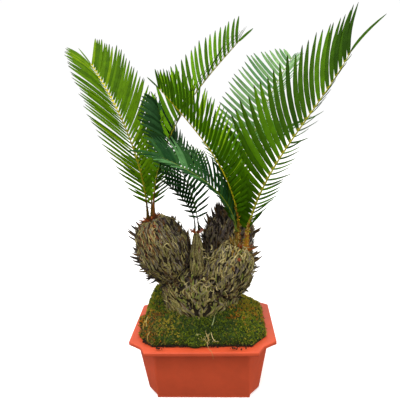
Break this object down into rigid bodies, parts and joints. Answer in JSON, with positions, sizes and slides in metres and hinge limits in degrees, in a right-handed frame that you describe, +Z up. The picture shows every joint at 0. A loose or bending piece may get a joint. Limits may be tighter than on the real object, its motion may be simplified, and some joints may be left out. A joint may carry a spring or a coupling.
{
  "type": "potted sago palm",
  "caption": "Cycad grown as a bonsai: swollen scaly trunk with several rounded heads, stiff feather fronds, a moss mound and a red rectangular plastic pot with indented corners",
  "frame": {"origin": "centre of the pot's flat underside, on the ground", "axes": "+Z up, +X along the pot's long way to the right seen from its front, -Y to the front"},
  "size_m": [0.4278, 0.3808, 0.5103],
  "materials": {
    "pot_plastic": "satin",
    "soil": "matte",
    "moss": "matte",
    "bark": "matte",
    "frond": "satin"
  },
  "bodies": {
    "root": {"pot": "pot_plastic", "soil": "soil", "moss": "moss", "trunk": "bark", "left_head": "bark", "rear_head": "bark", "right_head": "bark", "centre_head": "bark", "frond_right_great": "frond", "frond_bright": "frond", "frond_low_front": "frond", "frond_pale_back": "frond", "frond_left_outer": "frond", "frond_left_inner": "frond", "frond_dark_tall": "frond", "frond_dark_short": "frond", "frond_back_left": "frond", "frond_back": "frond", "frond_back_right": "frond", "frond_left_back": "frond"}
  },
  "joints": []
}
